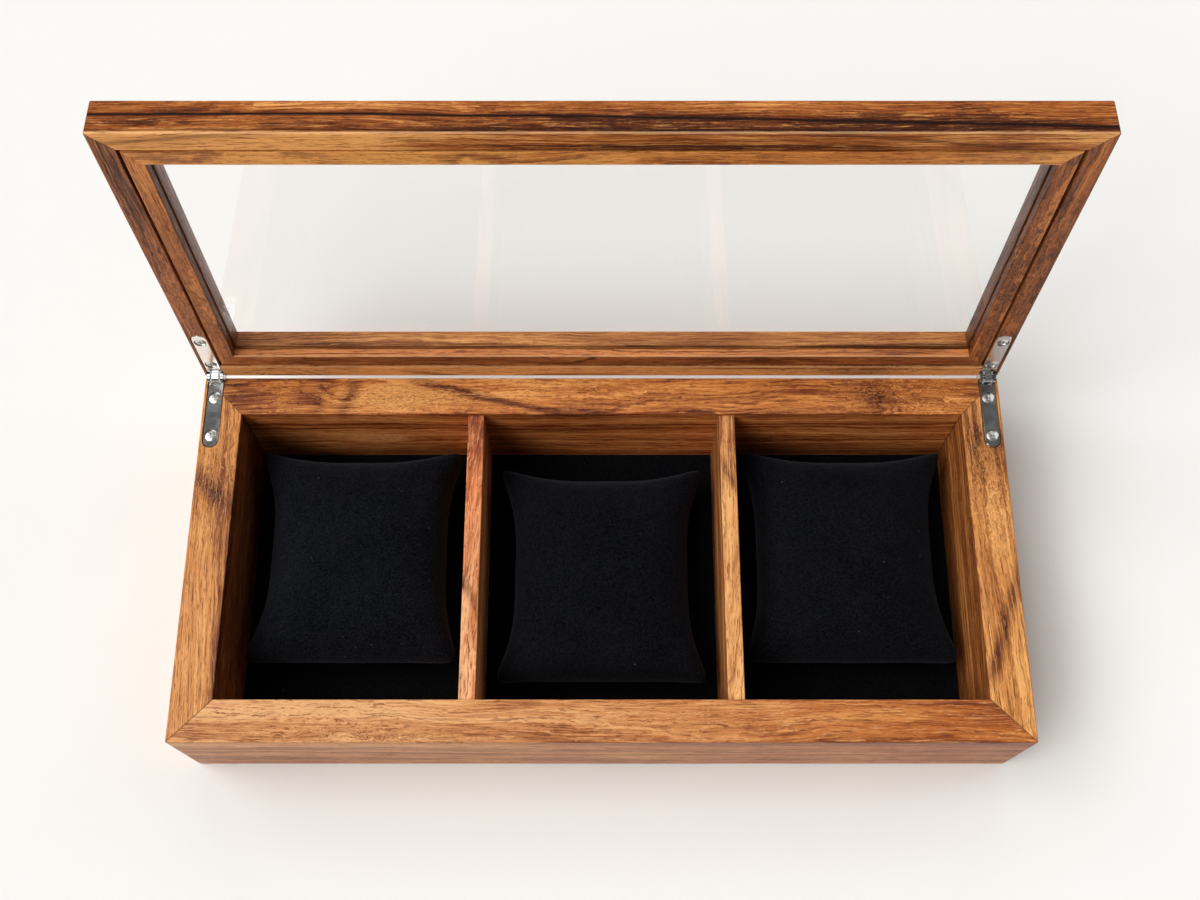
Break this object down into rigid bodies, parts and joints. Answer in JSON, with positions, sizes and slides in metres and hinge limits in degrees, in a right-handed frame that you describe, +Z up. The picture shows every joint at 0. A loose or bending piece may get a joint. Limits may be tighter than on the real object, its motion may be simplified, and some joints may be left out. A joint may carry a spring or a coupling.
{
  "type": "watch display box",
  "caption": "Hinged hardwood display box for watches: glazed lid on stop hinges, divided bays and a loose velvet cushion in each bay.",
  "frame": {"origin": "centre of the underside of the case, on the surface it stands on", "axes": "+X along the box, +Y towards the hinges at the back, +Z up"},
  "size_m": [0.3, 0.163, 0.1819],
  "materials": {
    "case_wood": "satin oil",
    "lid_wood": "satin oil",
    "bead_wood": "satin oil",
    "divider_wood": "satin oil",
    "panel_wood": "satin oil",
    "lining_velvet": "matt pile",
    "cushion_velvet": "matt pile",
    "glass": "clear polished",
    "hinge_nickel": "polished nickel plate",
    "screw_steel": "polished nickel plate"
  },
  "bodies": {
    "case": {"bottom_panel": "panel_wood", "front_wall": "case_wood", "back_wall": "case_wood", "left_wall": "case_wood", "right_wall": "case_wood", "left_divider": "divider_wood", "right_divider": "divider_wood", "left_floor_lining": "lining_velvet", "middle_floor_lining": "lining_velvet", "right_floor_lining": "lining_velvet", "left_case_leaf": "hinge_nickel", "right_case_leaf": "hinge_nickel", "left_hinge_pin": "screw_steel", "right_hinge_pin": "screw_steel", "left_case_screws": "screw_steel", "right_case_screws": "screw_steel"},
    "lid": {"lid_front_rail": "lid_wood", "lid_back_rail": "lid_wood", "lid_left_stile": "lid_wood", "lid_right_stile": "lid_wood", "front_glazing_bead": "bead_wood", "back_glazing_bead": "bead_wood", "left_glazing_bead": "bead_wood", "right_glazing_bead": "bead_wood", "glass_pane": "glass", "left_lid_leaf": "hinge_nickel", "right_lid_leaf": "hinge_nickel", "left_lid_screws": "screw_steel", "right_lid_screws": "screw_steel"},
    "left_cushion": {"left_cushion": "cushion_velvet"},
    "middle_cushion": {"middle_cushion": "cushion_velvet"},
    "right_cushion": {"right_cushion": "cushion_velvet"}
  },
  "joints": [
    {"name": "lid_hinge", "type": "hinge", "parent": "case", "child": "lid", "pos_m": [0, 0.06935, 0.04415], "axis": [1, 0, 0], "range_deg": [0, 95]},
    {"name": "left_cushion_lift", "type": "slide", "parent": "case", "child": "left_cushion", "axis": [0, 0, 1], "range_m": [0, 0.011]},
    {"name": "middle_cushion_lift", "type": "slide", "parent": "case", "child": "middle_cushion", "axis": [0, 0, 1], "range_m": [0, 0.011]},
    {"name": "right_cushion_lift", "type": "slide", "parent": "case", "child": "right_cushion", "axis": [0, 0, 1], "range_m": [0, 0.011]}
  ]
}
